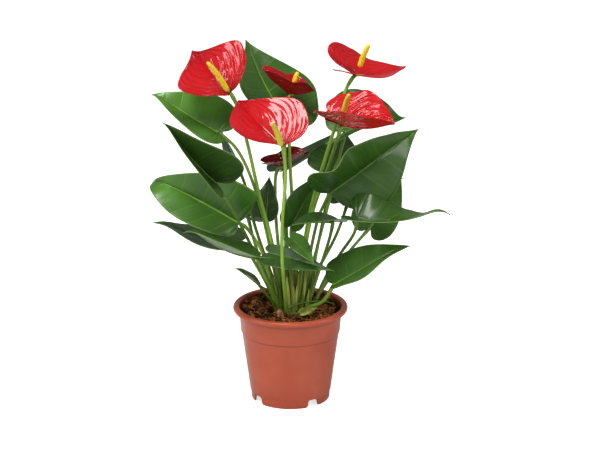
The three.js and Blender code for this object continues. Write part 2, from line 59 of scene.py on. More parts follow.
# The leaves and flowers, in millimetres about the pot's axis. The first place is the joint, where the
# stalk meets the blade, and the second is the blade's tip. face: the way its upper side looks.
# width, fold and curl: half-width, rise of each half at the midrib and further rise at its margin,
# in degrees, for the left and the right half. A fold may be a list of stations instead, each a place
# along the midrib and a number of degrees there. bend and hook: droop of the midrib, whole and near
# the tip, in degrees. lobe: how far the lobes reach behind the joint, as a share of the length.
# lift: how far the lobes are raised there, in degrees. left and right: a half's own outline.
# foot: where the stalk leaves the crown. via: points that the stalk passes, from the joint down.
# tone: 0 for the oldest, darkest skin and 1 for the youngest, brightest. spadix: its two ends, and
# green: how unripe it is, from 0 to 1.
LEAVES = [
    shape("leaf_01", (-74, 5, 287), (-143, 25, 321), face=(0.2, -0.4, 0.9), width=(36, 35), fold=(18, 35),
          curl=(0, -10), bend=-10, hook=45, lobe=0.15, foot=(-11, 3), via=[(-55, 8, 268), (-34, 9, 217)],
          tone=0.75),
    shape("leaf_02", (-77, -40, 248), (-125, -90, 323), face=(0.8, -0.55, 0.1), width=(32, 42),
          fold=(46, 70), bend=-30, hook=40, lobe=0.1, foot=(-11, -8),
          via=[(-64, -38, 227), (-40, -20, 172)], tone=0.3),
    shape("leaf_03", (-54, -6, 193), (-141, 18, 231), face=(-0.1, -0.8, 0.6), width=(32, 44),
          fold=(20, 46), bend=25, hook=60, lobe=0.03, foot=(-15, -3),
          via=[(-47, -2, 188), (-36, 0, 172), (-28, -1, 156)], tone=0.8,
          left=[(-0.3, 0.15), (-1, 0.3), (0, 0.56), (0.12, 0.78), (0.28, 0.95), (0.46, 1), (0.62, 0.93),
                (0.76, 0.78), (0.86, 0.58), (0.93, 0.38), (0.975, 0.2), (1, 0)]),
    shape("leaf_04", (-52, 8, 168), (-143, 0, 191), face=(0.25, 0, 0.95), width=(33, 33), fold=(0, 10),
          bend=-30, hook=35, lobe=0.08, foot=(-15, 4), via=[(-40, 8, 150)], tone=0.4),
    shape("leaf_05", (-34, -45, 168), (-107, -95, 210), face=(0.3, 0.25, 0.9), width=(27, 27),
          fold=(12, 25), bend=-35, hook=70, lobe=0.1, foot=(-11, -14), via=[(-28, -40, 150)], tone=0.45),
    shape("leaf_06", (-33, -26, 133), (-57, -50, 159), face=(0.1, -0.3, 0.95), width=(12, 12),
          fold=(15, 15), hook=10, lobe=0.15, foot=(-15, -8), tone=0.4),
    shape("leaf_07", (-22, -13, 163), (45, -55, 157), face=(0.35, -0.85, 0.4), width=(10, 15),
          fold=(10, 10), bend=10, lobe=0.08, foot=(-7, -10), tone=0.3),
    shape("leaf_08", (3, -27, 181), (25, -60, 166), face=(0.2, -0.7, 0.7), width=(11, 11), fold=(15, 15),
          bend=10, lobe=0.2, foot=(1, -6), via=[(3, -12, 164)], tone=0.7),
    shape("leaf_09", (-55, 25, 246), (-72, 32, 284), face=(-0.9, -0.35, 0.2), width=(14, 14),
          fold=(15, 15), hook=10, lobe=0.15, foot=(-11, 9), via=[(-47, 30, 222), (-38, 32, 180)], tone=0.2),
    shape("leaf_10", (-25, 18, 191), (-22, 42, 229), face=(-0.3, -0.6, 0.7), width=(16, 17),
          fold=(20, 25), lobe=0.12, foot=(-7, 9), tone=0.1),
    shape("leaf_11", (1, 19, 182), (31, 62, 226), face=(0.15, -0.75, 0.65), width=(25, 20), fold=(50, 50),
          bend=15, lobe=0.1, foot=(0, 3), tone=0.45),
    shape("leaf_12", (44, 45, 232), (58, 85, 267), face=(-0.3, -0.45, 0.8), width=(30, 30), fold=(30, 10),
          bend=-20, lobe=0.1, foot=(18, 11), tone=0.15),
    shape("leaf_13", (41, -15, 228), (129, -35, 301), face=(-0.1, -0.85, 0.5), width=(44, 42), bend=-12,
          hook=30, lobe=0.06, foot=(12, -3), via=[(29, -10, 200)], tone=0.35,
          fold=([(-0.12, 68), (0.03, 68), (0.27, 81), (0.5, 58), (0.75, 50), (1, 20)],
                [(0, -20), (0.5, -14), (1, 10)]),
          left=[(-0.3, 0.1), (-0.9, 0.26), (-1.05, 0.5), (-0.7, 0.8), (0.02, 0.97), (0.16, 1),
                (0.32, 0.95), (0.5, 0.79), (0.66, 0.55), (0.8, 0.31), (0.9, 0.13), (0.96, 0.045), (1, 0)],
          right=[(-0.2, 0.04), (0, 0.1), (0.01, 0.3), (0.05, 0.54), (0.12, 0.78), (0.23, 0.95), (0.36, 1),
                 (0.52, 0.88), (0.68, 0.65), (0.82, 0.37), (0.91, 0.17), (0.965, 0.055), (1, 0)]),
    shape("leaf_14", (-7, 70, 228), (48, 112, 258), face=(-0.4, -0.2, 0.9), width=(29, 28), fold=(5, 20),
          bend=-20, hook=-10, lobe=0.15, foot=(-1, 15), tone=0.2),
    shape("leaf_15", (68, -40, 209), (160, -85, 226), face=(-0.2, 0, 1), width=(29, 27), bend=-45,
          hook=75, lobe=0.12, foot=(24, -6), via=[(66, -32, 192), (52, -7, 160), (38, 0, 134)], tone=0.3,
          fold=([(-0.1, 44), (0.05, 46), (0.25, 34), (0.45, 14), (0.7, -4), (1, 0)],
                17),
          left=[(-0.2, 0.2), (-0.8, 0.42), (-1, 0.7), (-0.6, 0.93), (0.02, 1), (0.16, 0.98), (0.32, 0.88),
                (0.5, 0.68), (0.66, 0.45), (0.8, 0.25), (0.9, 0.115), (0.96, 0.04), (1, 0)]),
    shape("leaf_16", (84, 30, 177), (118, 70, 227), face=(0.1, -0.85, 0.5), width=(26, 24), fold=(10, 5),
          bend=10, lobe=0.14, foot=(24, 4), via=[(60, 22, 150)], tone=0.5),
    shape("leaf_17", (45, -35, 136), (122, -53, 183), face=(-0.5, -0.4, 0.75), width=(31, 33),
          fold=(10, 26), hook=40, lobe=0.08, foot=(15, -14), via=[(40, -32, 126), (33, -27, 114)],
          tone=0.55,
          right=[(-0.2, 0.06), (-0.5, 0.12), (0, 0.3), (0.1, 0.6), (0.24, 0.86), (0.4, 1), (0.55, 0.92),
                 (0.7, 0.68), (0.82, 0.4), (0.91, 0.18), (0.965, 0.06), (1, 0)]),
    shape("leaf_18", (44, -25, 200), (0, -62, 207), face=(0.1, 0.1, 0.99), width=(18, 18), fold=(20, 20),
          bend=10, hook=10, lobe=0.2, foot=(18, -8), via=[(40, -16, 178)], tone=0.3),
    shape("leaf_19", (-9, 50, 296), (-47, 85, 365), face=(0.35, -0.7, 0.6), width=(50, 48), fold=(8, 5),
          curl=(45, 0), bend=-30, hook=5, lobe=0.3, foot=(-3, 9),
          via=[(-5.5, 30, 262), (-6, 26, 225), (-5, 20, 160)], tone=0.5),
    shape("leaf_20", (57, 33, 279), (118, 10, 301), face=(-0.3, 0, 0.95), width=(41, 38), fold=(65, 5),
          bend=35, hook=-35, lobe=0.25, foot=(14, 5), via=[(50, 28, 250), (46, 22, 232)], tone=0.45),
    shape("leaf_21", (-46, 72, 176), (-112, 105, 186), face=(-0.1, 0.2, 0.95), width=(30, 30),
          fold=(15, 15), bend=25, hook=20, lobe=0.2, foot=(-9, 14), via=[(-34, 50, 140)], tone=0.4),
    shape("leaf_22", (62, 72, 194), (122, 112, 205), face=(0.1, 0.2, 0.95), width=(30, 30), fold=(15, 15),
          bend=25, hook=20, lobe=0.2, foot=(12, 15), via=[(48, 52, 160)], tone=0.5),
]
ONE_PIECE_LEAVES = ("leaf_06", "leaf_07", "leaf_08", "leaf_10")

FLOWERS = [
    shape("flower_1", (-61, -5, 332), (-100, 20, 369), face=(-0.1, -0.8, 0.6), width=(42, 45),
          fold=(25, 25), bend=-35, hook=-25, lobe=0.06, foot=(-8, -4),
          via=[(-54, 0, 316), (-43, 2, 272), (-33, 0, 226), (-19, -3, 170)], tone=0.8,
          spadix=[(-63.6, -9, 335), (-83, -25, 368)], green=0.15,
          left=[(-0.4, 0.05), (-1, 0.16), (0.06, 0.36), (0.17, 0.62), (0.31, 0.85), (0.47, 1),
                (0.6, 0.99), (0.7, 0.86), (0.79, 0.67), (0.87, 0.41), (0.94, 0.18), (1, 0)],
          right=[(-0.4, 0.05), (-1, 0.2), (-0.2, 0.48), (0.08, 0.7), (0.2, 0.87), (0.45, 1), (0.6, 0.91),
                 (0.71, 0.7), (0.81, 0.43), (0.9, 0.18), (0.96, 0.06), (1, 0)]),
    shape("flower_2", (-7, -58, 291), (-52, -24, 328), face=(0, -0.7, 0.7), width=(39, 45), fold=(35, 15),
          bend=-35, lobe=0.14, foot=(-4, -16), via=[(-4.5, -52, 260), (-8, -48, 205), (-8, -46, 164)],
          tone=0.9, spadix=[(-9, -63, 293), (-17, -88, 322)], green=0.8,
          left=[(-0.2, 0.04), (-0.1, 0.12), (0.08, 0.3), (0.2, 0.58), (0.34, 0.83), (0.48, 0.98),
                (0.62, 1), (0.75, 0.88), (0.86, 0.64), (0.94, 0.36), (0.98, 0.14), (1, 0)],
          right=[(-0.3, 0.06), (-0.8, 0.22), (-1, 0.46), (-0.5, 0.73), (0.12, 0.93), (0.3, 1),
                 (0.47, 0.93), (0.62, 0.75), (0.76, 0.5), (0.88, 0.25), (0.96, 0.08), (1, 0)]),
    shape("flower_3", (-2, 40, 318), (25, 47, 320), face=(-0.1, 0.15, 0.97), width=(27, 21),
          fold=(50, 38), curl=(0, 10), bend=-25, lobe=1.05, lift=32, foot=(5, 12),
          via=[(-1, 34, 262), (1, 32, 220), (4, 29, 175)], tone=0.6, spadix=[(4, 35, 330), (8, 35, 343)]),
    shape("flower_4", (66, 20, 344), (119, 35, 349), face=(-0.05, -0.02, 1), width=(34, 27),
          fold=([(-0.5, 52), (0, 40), (0.5, 26), (1, 20)], 8), bend=-25, hook=-10, lobe=0.5, lift=10,
          foot=(7, 3), via=[(57, 10, 331), (45, -2, 292), (28, 1, 233), (18, 1, 191)], tone=0.8,
          spadix=[(71, 15, 354), (80, 5, 379)], green=0.25,
          left=[(-0.3, 0.1), (-0.8, 0.3), (-1, 0.6), (-0.8, 0.88), (-0.3, 1), (0.12, 0.93), (0.35, 0.76),
                (0.56, 0.54), (0.75, 0.32), (0.9, 0.13), (0.96, 0.05), (1, 0)],
          right=[(-0.3, 0.1), (-0.8, 0.22), (-0.95, 0.42), (-0.6, 0.68), (0, 0.88), (0.28, 1),
                 (0.5, 0.93), (0.68, 0.72), (0.82, 0.43), (0.92, 0.19), (0.97, 0.07), (1, 0)]),
    shape("flower_5", (52, -30, 304), (104, -60, 313), face=(0, 0.2, 0.97), width=(41, 42), fold=(65, 25),
          bend=-35, hook=20, lobe=0.42, foot=(8, -7), via=[(40, -15, 259), (21, -10, 198)], tone=0.95,
          spadix=[(54, -32, 318), (59, -45, 340)], green=0.8),
    shape("flower_6", (-7, 44, 240), (19, 48, 253), face=(-0.1, -0.2, 0.95), width=(16, 15),
          fold=(48, 52), lobe=0.75, lift=30, foot=(-5, 15),
          via=[(-14, 48, 233), (-16, 38, 205), (-13, 27, 160)], tone=0.1),
]

# One half of a blade from the lobe behind the stalk round to the tip. The first number runs along
# the midrib: 0 at the stalk, 1 at the tip, below 0 in shares of the lobe's length. The second is
# a share of the half-width.
LEAF_OUTLINE = [(-0.5, 0.12), (-0.88, 0.24), (-1, 0.44), (-0.7, 0.72), (0, 0.93), (0.15, 1), (0.32, 0.94),
                (0.5, 0.75), (0.67, 0.5), (0.8, 0.28), (0.9, 0.115), (0.96, 0.04), (1, 0)]
SPATHE_OUTLINE = [(-0.3, 0.1), (-0.8, 0.22), (-1, 0.44), (-0.62, 0.74), (0.08, 0.94), (0.28, 1),
                  (0.48, 0.95), (0.66, 0.8), (0.81, 0.55), (0.92, 0.27), (0.98, 0.07), (1, 0)]


# ---- modelling helpers ----
def deselect():
    bpy.ops.object.select_all(action="DESELECT")


def make_active(piece):
    deselect()
    piece.select_set(True)
    bpy.context.view_layer.objects.active = piece


def apply_modifier(piece, kind, **settings):
    make_active(piece)
    modifier = piece.modifiers.new(kind.lower(), kind)
    for key, value in settings.items():
        setattr(modifier, key, value)
    bpy.ops.object.modifier_apply(modifier=modifier.name)


def edit(piece, *steps):
    """Runs edit-mode operators on the whole of a piece."""
    make_active(piece)
    bpy.ops.object.mode_set(mode="EDIT")
    bpy.ops.mesh.select_all(action="SELECT")
    for step in steps:
        step()
    bpy.ops.object.mode_set(mode="OBJECT")


def merge_doubles():
    bpy.ops.mesh.remove_doubles(threshold=2e-6)


def face_outward():
    bpy.ops.mesh.select_all(action="SELECT")
    bpy.ops.mesh.normals_make_consistent(inside=False)


def new_grid(name, columns, rows):
    """A flat grid and the place of each of its vertices across and along it, from 0 to 1."""
    deselect()
    bpy.ops.mesh.primitive_grid_add(x_subdivisions=columns, y_subdivisions=rows, size=2)
    piece = bpy.context.active_object
    piece.name = name
    piece.data.name = name
    flat = points_of(piece)
    return piece, (flat[:, 0] + 1) / 2, (flat[:, 1] + 1) / 2


def points_of(piece):
    flat = np.zeros(len(piece.data.vertices) * 3)
    piece.data.vertices.foreach_get("co", flat)
    return flat.reshape(-1, 3)


def set_points(piece, points):
    piece.data.vertices.foreach_set("co", np.asarray(points, float).ravel())
    piece.data.update()


def smooth(piece):
    piece.data.polygons.foreach_set("use_smooth", [True] * len(piece.data.polygons))
    piece.data.update()


def number_attribute(piece, name, value):
    layer = piece.data.attributes.new(name, "FLOAT", "POINT")
    layer.data.foreach_set("value", np.full(len(piece.data.vertices), float(value)))


def finished(piece, nodes, slot_name, *materials):
    for material in materials:
        piece.data.materials.append(material)
    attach(piece, "root")
    if nodes:
        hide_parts(*nodes)
    return piece


def unit(vector):
    return vector / np.linalg.norm(vector)


def row_frame(points):
    """Millimetres about the pot's axis to metres in the row frame."""
    return np.asarray(points, float) * MM + np.array(AXIS)


def smooth_curve(points, count):
    """Samples of an even Catmull-Rom curve through the points."""
    points = np.asarray(points, float)
    spans = len(points) - 1
    padded = np.vstack([2 * points[0] - points[1], points, 2 * points[-1] - points[-2]])
    at = np.linspace(0, spans, count)
    low = np.minimum(at.astype(int), spans - 1)
    f = (at - low)[:, None]
    a, b, c, d = (padded[low + k] for k in range(4))
    return 0.5 * (2 * b + (c - a) * f + (2 * a - 5 * b + 4 * c - d) * f**2 + (3 * b - a - 3 * c + d) * f**3)


def lumps(points, size, seed):
    """Smooth noise from -1 to 1 at each point, with lumps of the given size."""
    offset = Vector((seed * 3.7, seed * 1.9, seed * 5.3))
    return np.array([noise.noise(Vector(p) / size + offset) for p in points])


# ---- blades ----
HOOK_START = 0.7
VEINS = 9
VEIN_SWEEP = 0.12
FIRST_VEIN = 0.02
VEIN_ARC = 0.4


def blade_axes(spec):
    joint = np.array(spec["joint"], float)
    along = np.array(spec["tip"], float) - joint
    length = np.linalg.norm(along)
    along = along / length
    up = np.array(spec["face"], float)
    up = unit(up - along * up.dot(along))
    return joint, length, along, np.cross(up, along), up


def midrib(spec, at):
    """Where the drooping midrib is at a share of its length, and how steeply it runs there."""
    bend, hook = math.radians(spec["bend"]), math.radians(spec["hook"])
    steps = np.linspace(0, 1, 61)

    def slope(u):
        return -bend * u - hook * np.clip((u - HOOK_START) / (1 - HOOK_START), 0, 1) ** 2

    middles = (steps[1:] + steps[:-1]) / 2
    xs = np.concatenate([[0], np.cumsum(np.cos(slope(middles)))]) / 60
    zs = np.concatenate([[0], np.cumsum(np.sin(slope(middles)))]) / 60
    scale = 1 / math.hypot(xs[-1], zs[-1])
    chord = math.atan2(zs[-1], xs[-1])
    x = np.where(at < 0, at, np.interp(at, steps, xs))
    z = np.where(at < 0, 0, np.interp(at, steps, zs))
    return (scale * (x * math.cos(chord) + z * math.sin(chord)),
            scale * (z * math.cos(chord) - x * math.sin(chord)),
            slope(np.clip(at, 0, 1)) - chord)


def eased(at, stations):
    """A value that eases from station to station; a plain number stays as it is."""
    if not isinstance(stations, list):
        return np.full(at.shape, float(stations))
    places, values = np.array(stations, float).T
    k = np.clip(np.searchsorted(places, at, side="right") - 1, 0, len(places) - 2)
    f = np.clip((at - places[k]) / (places[k + 1] - places[k]), 0, 1)
    f = f * f * (3 - 2 * f)
    return values[k] * (1 - f) + values[k + 1] * f


def blade_point(spec, along_share, across):
    """Points of a blade's middle surface. across runs from -1, the right margin, to 1, the left one."""
    joint, length, along, side, up = blade_axes(spec)
    x, z, slope = midrib(spec, along_share)
    lobe_lift = math.radians(spec["lift"])
    behind = np.minimum(along_share, 0)
    x, z = x - behind * (1 - math.cos(lobe_lift)), z - behind * math.sin(lobe_lift)
    left = across >= 0
    share = np.abs(across)
    width = np.where(left, *spec["width"])
    fold = np.radians(np.where(left, *(eased(along_share, stations) for stations in spec["fold"])))
    curl = np.radians(np.where(left, *(eased(along_share, stations) for stations in spec["curl"])))
    safe = np.where(np.abs(curl) < 1e-4, 1, curl)
    out = np.where(np.abs(curl) < 1e-4, width * share * np.cos(fold),
                   width / safe * (np.sin(fold + safe * share) - np.sin(fold)))
    lift = np.where(np.abs(curl) < 1e-4, width * share * np.sin(fold),
                    width / safe * (np.cos(fold) - np.cos(fold + safe * share)))
    sign = np.where(left, 1, -1)
    return (joint + (x * length - lift * np.sin(slope))[:, None] * along + (sign * out)[:, None] * side
            + (z * length + lift * np.cos(slope))[:, None] * up)


def vein_start(along_share, sweep):
    """Where on the midrib the vein that meets the margin at this station begins."""
    u = np.clip((along_share - FIRST_VEIN) / (1 - FIRST_VEIN), 0, 1)
    start = np.clip((1 + FIRST_VEIN) * u - sweep * np.sin(np.pi * u), 0, 1)
    return np.where(start < FIRST_VEIN, 0, start)


def blade_surface(spec, outline, rows, columns, sweep, relief):
    """A blade's grid of points, rows from lobe to tip and columns from the right margin to the left.
    relief gives the height of the surface detail in mm, from the place along and across."""
    margins = []
    for half in ("right", "left"):
        lobed = [(x * spec["lobe"] if x < 0 else x, y) for x, y in spec.get(half, outline)]
        margins.append(smooth_curve(lobed, rows))
    start = vein_start((margins[0][:, 0] + margins[1][:, 0]) / 2, sweep)
    start[-1] = 1
    across = np.linspace(-1, 1, columns)[None, :]
    reach = np.abs(across)
    edge_along = np.where(across < 0, margins[0][:, :1], margins[1][:, :1])
    edge_across = np.where(across < 0, margins[0][:, 1:], margins[1][:, 1:])
    along_share = start[:, None] * (1 - reach) + edge_along * reach
    share = edge_across * across
    points = blade_point(spec, along_share.ravel(), share.ravel()).reshape(rows, columns, 3)
    t = np.linspace(0, 1, rows)[:, None] * np.ones_like(across)
    normal = np.cross(np.gradient(points, axis=1), np.gradient(points, axis=0))
    size = np.linalg.norm(normal, axis=2, keepdims=True)
    up = blade_axes(spec)[4]
    normal = np.where(size > 1e-6, normal / np.maximum(size, 1e-6), up)
    flip = np.sign((normal * up).sum(axis=2).mean())
    return points + flip * normal * relief(t, np.broadcast_to(across, t.shape), points)[:, :, None]


def blade_piece(name, spec, outline, rows, columns, sweep, relief, thickness):
    grid = blade_surface(spec, outline, rows, columns, sweep, relief)
    piece, across, along = new_grid(name, columns - 1, rows - 1)
    i = np.rint(along * (rows - 1)).astype(int)
    j = np.rint(across * (columns - 1)).astype(int)
    set_points(piece, row_frame(grid[i, j]))
    normals = np.zeros(len(piece.data.polygons) * 3)
    piece.data.polygons.foreach_get("normal", normals)
    edit(piece, merge_doubles)
    up = blade_axes(spec)[4]
    if normals.reshape(-1, 3).dot(up).sum() < 0:
        edit(piece, bpy.ops.mesh.flip_normals)
    smooth(piece)
    number_attribute(piece, "tone", spec["tone"])
    apply_modifier(piece, "SOLIDIFY", thickness=thickness * MM, offset=0, material_offset=1,
                   material_offset_rim=1, use_rim=True)
    return piece


def leaf_relief(spec):
    waves = 2.0 + (hash_number(spec["name"]) % 3) * 0.5
    phase = hash_number(spec["name"]) * 0.7
    size = sum(spec["width"]) / 2

    def relief(t, across, points):
        reach = np.abs(across)
        ripple = 0.035 * size * reach**2 * np.sin(2 * np.pi * waves * t + phase + (across > 0) * 1.3)
        ripple = ripple * np.sin(np.pi * np.clip(t, 0, 1)) ** 0.5
        between = np.sin(np.pi * ((t * VEINS) % 1))
        quilt = 0.012 * size * between * np.sin(np.pi * reach) ** 0.7
        groove = -0.02 * size * np.exp(-(reach / 0.06) ** 2)
        return (ripple + quilt + groove) * np.clip(1.6 * (1 - t) ** 0.5, 0, 1)

    return relief


def hash_number(name):
    return sum(ord(letter) * (k + 3) for k, letter in enumerate(name)) % 17


def spathe_relief(spec):
    size = sum(spec["width"]) / 2
    seed = hash_number(spec["name"])

    def relief(t, across, points):
        reach = np.abs(across)
        swept = t - VEIN_ARC * reach**2
        drift = np.column_stack([swept.ravel() * 5, reach.ravel() * 2, np.sign(across).ravel() * 5])
        wander = 0.6 * lumps(drift, 1.0, seed + 4).reshape(t.shape)
        ridge = np.abs(np.sin(np.pi * (swept * VEINS + wander)))
        arcs = np.column_stack([swept.ravel() * 38, reach.ravel() * 5, np.sign(across).ravel() * 7])
        pucker = lumps(arcs, 1.0, seed).reshape(t.shape) + 0.5 * lumps(arcs, 0.5, seed + 2).reshape(t.shape)
        rise = np.sin(np.pi * np.clip(reach, 0, 1)) ** 0.6
        edge = 0.03 * size * reach**3 * np.sin(2 * np.pi * 2.5 * t + seed)
        height = 0.011 * size * ridge + 0.011 * size * pucker
        groove = 0.05 * size * np.exp(-(reach / 0.1) ** 2) * np.exp(-(t / 0.6) ** 2)
        return (height * rise + edge - groove) * np.clip(1.5 * (1 - t) ** 0.5, 0, 1)

    return relief


# ---- stalks ----
CROWN_TOP = 96
STALK_ROOT = 90
STALK_SIDES = 12


def rod(name, points, radii, rings, sides=STALK_SIDES, flatten=None):
    """A round rod along a smooth curve, its radius running through the given radii."""
    path = smooth_curve(points, rings)
    spread = np.interp(np.linspace(0, 1, rings), np.linspace(0, 1, len(radii)), radii)
    return tube(name, path, spread, sides, flatten)


def tube(name, path, spread, sides=STALK_SIDES, flatten=None):
    """A closed rod through a row of points in mm, with a radius at each."""
    rings = len(path)
    tangent = np.gradient(path, axis=0)
    tangent /= np.linalg.norm(tangent, axis=1, keepdims=True)
    first = np.cross(tangent[0], (0.3, 1.0, 0.2))
    frames = [unit(first)]
    for direction in tangent[1:]:
        previous = frames[-1]
        frames.append(unit(previous - direction * previous.dot(direction)))
    u = np.array(frames)
    w = np.cross(tangent, u)
    # a closed end: one extra ring at each end, drawn in to the middle
    path = np.vstack([path[:1], path, path[-1:]])
    spread = np.concatenate([[0], spread, [0]])
    u = np.vstack([u[:1], u, u[-1:]])
    w = np.vstack([w[:1], w, w[-1:]])
    piece, around, along = new_grid(name, sides, rings + 1)
    ring = np.rint(along * (rings + 1)).astype(int)
    angle = 2 * np.pi * around
    squeeze = 1 if flatten is None else np.concatenate([[1], flatten, [1]])[ring]
    offset = (u[ring] * (np.cos(angle) * spread[ring])[:, None]
              + w[ring] * (np.sin(angle) * spread[ring] * squeeze)[:, None])
    set_points(piece, row_frame(path[ring] + offset))
    edit(piece, merge_doubles, face_outward)
    smooth(piece)
    return piece


def stalk_path(spec, steps):
    """From below the mix, up through the via points, to the joint."""
    foot = spec["foot"]
    points = [(*foot, STALK_ROOT), (*foot, CROWN_TOP + 4), *reversed(spec["via"]), spec["joint"]]
    points = np.array(points, float)
    spans = np.sqrt(np.linalg.norm(np.diff(points, axis=0), axis=1))
    knots = np.concatenate([[0], np.cumsum(spans)])
    return centripetal(points, knots, steps)


def centripetal(points, knots, steps):
    """Samples of a Catmull-Rom curve whose knots are the square roots of the spans."""
    before = points[0] - (points[1] - points[0])
    after = points[-1] + (points[-1] - points[-2])
    padded = np.vstack([before, points, after])
    padded_knots = np.concatenate([[knots[0] - (knots[1] - knots[0])], knots,
                                   [knots[-1] + (knots[-1] - knots[-2])]])
    out = []
    for at in np.linspace(knots[0], knots[-1], steps):
        k = min(max(np.searchsorted(knots, at, side="right") - 1, 0), len(points) - 2)
        p = padded[k:k + 4]
        t = padded_knots[k:k + 4]

        def mix(a, b, ta, tb):
            return a + (b - a) * (at - ta) / (tb - ta)

        a1, a2, a3 = (mix(p[n], p[n + 1], t[n], t[n + 1]) for n in range(3))
        b1, b2 = mix(a1, a2, t[0], t[2]), mix(a2, a3, t[1], t[3])
        out.append(mix(b1, b2, t[1], t[2]))
    return np.array(out)


def stalk_piece(name, spec, radius, sheath, rib_to):
    """A stalk with a wide sheath at its base and a swollen joint, running on under the blade as its
    midrib."""
    path = stalk_path(spec, 44)
    height = path[:, 2] - STALK_ROOT
    run = np.concatenate([[0], np.cumsum(np.linalg.norm(np.diff(path, axis=0), axis=1))])
    left = run[-1] - run
    spread = radius * (1 - 0.12 * run / run[-1]) + sheath * np.exp(-height / 16)
    spread += 0.28 * radius * np.exp(-((left - 7) / 6) ** 2)
    joint, length, along, side, up = blade_axes(spec)
    stations = np.linspace(0.03, rib_to, 26)
    x, z, slope = midrib(spec, stations)
    thin = np.interp(stations, [0, 0.12, 0.5, rib_to], [0.75, 0.5, 0.3, 0.1]) * radius
    rib = (joint + (x * length)[:, None] * along + (z * length)[:, None] * up
           - (thin * 0.55)[:, None] * up)
    path = np.vstack([path[:-1], rib])
    spread = np.concatenate([spread[:-1], thin])
    flatten = np.concatenate([np.interp(height[:-1], [0, 25], [0.75, 0.95]), np.ones(len(rib))])
    piece = tube(name, path, spread, flatten=flatten)
    number_attribute(piece, "tone", spec["tone"])
    return piece


SPADIX_RADIUS = 2.9
SPADIX_SIDES = 48
KNOBS_ROUND = 8
KNOB_HEIGHT = 0.16


def spadix_piece(name, spec):
    """A spadix covered in small knobs set in crossing rows."""
    base, end = (np.array(p, float) for p in spec["spadix"])
    length = np.linalg.norm(end - base)
    stations = np.linspace(0, 1, 90)
    bow = unit(np.cross(np.cross(end - base, (0, 0, 1.0)), end - base))
    sag = 0.03 * length * np.sin(np.pi * stations)
    path = base + (end - base) * stations[:, None] + bow * sag[:, None]
    profile = np.interp(stations, [0, 0.05, 0.3, 0.75, 0.93, 0.98, 1],
                        [0.8, 0.95, 1, 0.86, 0.66, 0.45, 0.15])
    piece = tube(name, path, profile * SPADIX_RADIUS, sides=SPADIX_SIDES)
    flat = points_of(piece)
    local = (flat - np.array(AXIS)) / MM - base
    axis = (end - base) / length
    height = local.dot(axis)
    radial = local - height[:, None] * axis
    first = unit(np.cross(axis, (0.2, 1, 0.3)))
    second = np.cross(axis, first)
    angle = np.arctan2(radial.dot(second), radial.dot(first))
    knobs = np.cos(KNOBS_ROUND * angle + height * 2.4) * np.cos(KNOBS_ROUND * angle - height * 2.4)
    out = radial / np.maximum(np.linalg.norm(radial, axis=1, keepdims=True), 1e-6)
    set_points(piece, flat + out * (KNOB_HEIGHT * knobs)[:, None] * MM)
    number_attribute(piece, "tone", spec["green"])
    return piece


# ---- materials ----
def srgb(red, green, blue):
    def linear(value):
        value /= 255
        return value / 12.92 if value <= 0.04045 else ((value + 0.055) / 1.055) ** 2.4

    return (linear(red), linear(green), linear(blue), 1)


